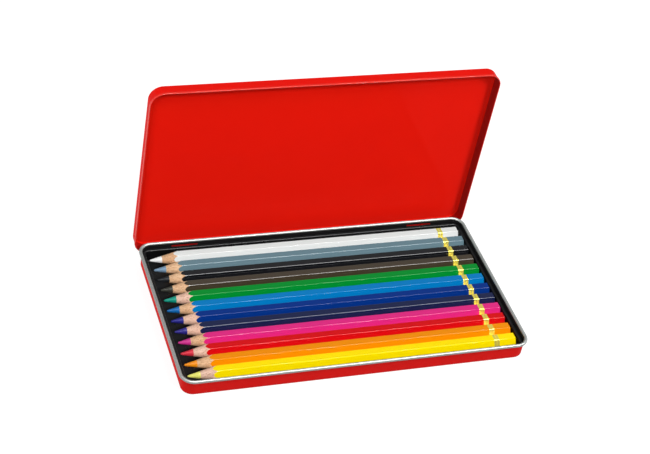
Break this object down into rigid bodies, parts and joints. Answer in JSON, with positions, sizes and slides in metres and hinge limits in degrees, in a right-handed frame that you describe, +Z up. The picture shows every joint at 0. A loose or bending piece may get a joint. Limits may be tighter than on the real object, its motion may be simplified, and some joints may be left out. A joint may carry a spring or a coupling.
{
  "type": "colored pencil tin",
  "caption": "Flat hinged metal tin with a rolled rim and a moulded tray, open, holding a row of sharpened hexagonal coloured pencils.",
  "frame": {"origin": "middle of the base's underside, on the table", "axes": "+X along the pencils towards their butt ends, +Y back towards the hinge, +Z up"},
  "size_m": [0.1878, 0.1119, 0.11],
  "materials": {
    "base_tin": "red lacquered tin sheet with a bare silver rolled rim",
    "lid_tin": "red lacquered tin sheet, satin",
    "tray_plastic": "black moulded sheet, satin",
    "cedar": "bare sharpened pencil wood",
    "lacquer_white": "glossy pencil lacquer",
    "lead_white": "waxy coloured lead",
    "lacquer_grey": "glossy pencil lacquer",
    "lead_grey": "waxy coloured lead",
    "lacquer_black": "glossy pencil lacquer",
    "lead_black": "waxy coloured lead",
    "lacquer_brown": "glossy pencil lacquer",
    "lead_brown": "waxy coloured lead",
    "lacquer_green": "glossy pencil lacquer",
    "lead_green": "waxy coloured lead",
    "lacquer_sky": "glossy pencil lacquer",
    "lead_sky": "waxy coloured lead",
    "lacquer_ultramarine": "glossy pencil lacquer",
    "lead_ultramarine": "waxy coloured lead",
    "lacquer_navy": "glossy pencil lacquer",
    "lead_navy": "waxy coloured lead",
    "lacquer_magenta": "glossy pencil lacquer",
    "lead_magenta": "waxy coloured lead",
    "lacquer_red": "glossy pencil lacquer",
    "lead_red": "waxy coloured lead",
    "lacquer_orange": "glossy pencil lacquer",
    "lead_orange": "waxy coloured lead",
    "lacquer_yellow": "glossy pencil lacquer",
    "lead_yellow": "waxy coloured lead"
  },
  "bodies": {
    "base": {"base_shell": "base_tin", "tray": "tray_plastic"},
    "lid": {"lid_shell": "lid_tin"},
    "pencil_white": {"pencil_white_casing": "cedar", "pencil_white_lacquer": "lacquer_white", "pencil_white_lead": "lead_white"},
    "pencil_grey": {"pencil_grey_casing": "cedar", "pencil_grey_lacquer": "lacquer_grey", "pencil_grey_lead": "lead_grey"},
    "pencil_black": {"pencil_black_casing": "cedar", "pencil_black_lacquer": "lacquer_black", "pencil_black_lead": "lead_black"},
    "pencil_brown": {"pencil_brown_casing": "cedar", "pencil_brown_lacquer": "lacquer_brown", "pencil_brown_lead": "lead_brown"},
    "pencil_green": {"pencil_green_casing": "cedar", "pencil_green_lacquer": "lacquer_green", "pencil_green_lead": "lead_green"},
    "pencil_sky": {"pencil_sky_casing": "cedar", "pencil_sky_lacquer": "lacquer_sky", "pencil_sky_lead": "lead_sky"},
    "pencil_ultramarine": {"pencil_ultramarine_casing": "cedar", "pencil_ultramarine_lacquer": "lacquer_ultramarine", "pencil_ultramarine_lead": "lead_ultramarine"},
    "pencil_navy": {"pencil_navy_casing": "cedar", "pencil_navy_lacquer": "lacquer_navy", "pencil_navy_lead": "lead_navy"},
    "pencil_magenta": {"pencil_magenta_casing": "cedar", "pencil_magenta_lacquer": "lacquer_magenta", "pencil_magenta_lead": "lead_magenta"},
    "pencil_red": {"pencil_red_casing": "cedar", "pencil_red_lacquer": "lacquer_red", "pencil_red_lead": "lead_red"},
    "pencil_orange": {"pencil_orange_casing": "cedar", "pencil_orange_lacquer": "lacquer_orange", "pencil_orange_lead": "lead_orange"},
    "pencil_yellow": {"pencil_yellow_casing": "cedar", "pencil_yellow_lacquer": "lacquer_yellow", "pencil_yellow_lead": "lead_yellow"}
  },
  "joints": [
    {"name": "lid_hinge", "type": "hinge", "parent": "base", "child": "lid", "pos_m": [0, 0.0527, 0.0039], "axis": [-1, 0, 0], "range_deg": [-87.3, 0]},
    {"name": "white_lift", "type": "slide", "parent": "base", "child": "pencil_white", "axis": [0, 0, 1], "range_m": [0, 0.03]},
    {"name": "grey_lift", "type": "slide", "parent": "base", "child": "pencil_grey", "axis": [0, 0, 1], "range_m": [0, 0.03]},
    {"name": "black_lift", "type": "slide", "parent": "base", "child": "pencil_black", "axis": [0, 0, 1], "range_m": [0, 0.03]},
    {"name": "brown_lift", "type": "slide", "parent": "base", "child": "pencil_brown", "axis": [0, 0, 1], "range_m": [0, 0.03]},
    {"name": "green_lift", "type": "slide", "parent": "base", "child": "pencil_green", "axis": [0, 0, 1], "range_m": [0, 0.03]},
    {"name": "sky_lift", "type": "slide", "parent": "base", "child": "pencil_sky", "axis": [0, 0, 1], "range_m": [0, 0.03]},
    {"name": "ultramarine_lift", "type": "slide", "parent": "base", "child": "pencil_ultramarine", "axis": [0, 0, 1], "range_m": [0, 0.03]},
    {"name": "navy_lift", "type": "slide", "parent": "base", "child": "pencil_navy", "axis": [0, 0, 1], "range_m": [0, 0.03]},
    {"name": "magenta_lift", "type": "slide", "parent": "base", "child": "pencil_magenta", "axis": [0, 0, 1], "range_m": [0, 0.03]},
    {"name": "red_lift", "type": "slide", "parent": "base", "child": "pencil_red", "axis": [0, 0, 1], "range_m": [0, 0.03]},
    {"name": "orange_lift", "type": "slide", "parent": "base", "child": "pencil_orange", "axis": [0, 0, 1], "range_m": [0, 0.03]},
    {"name": "yellow_lift", "type": "slide", "parent": "base", "child": "pencil_yellow", "axis": [0, 0, 1], "range_m": [0, 0.03]}
  ]
}
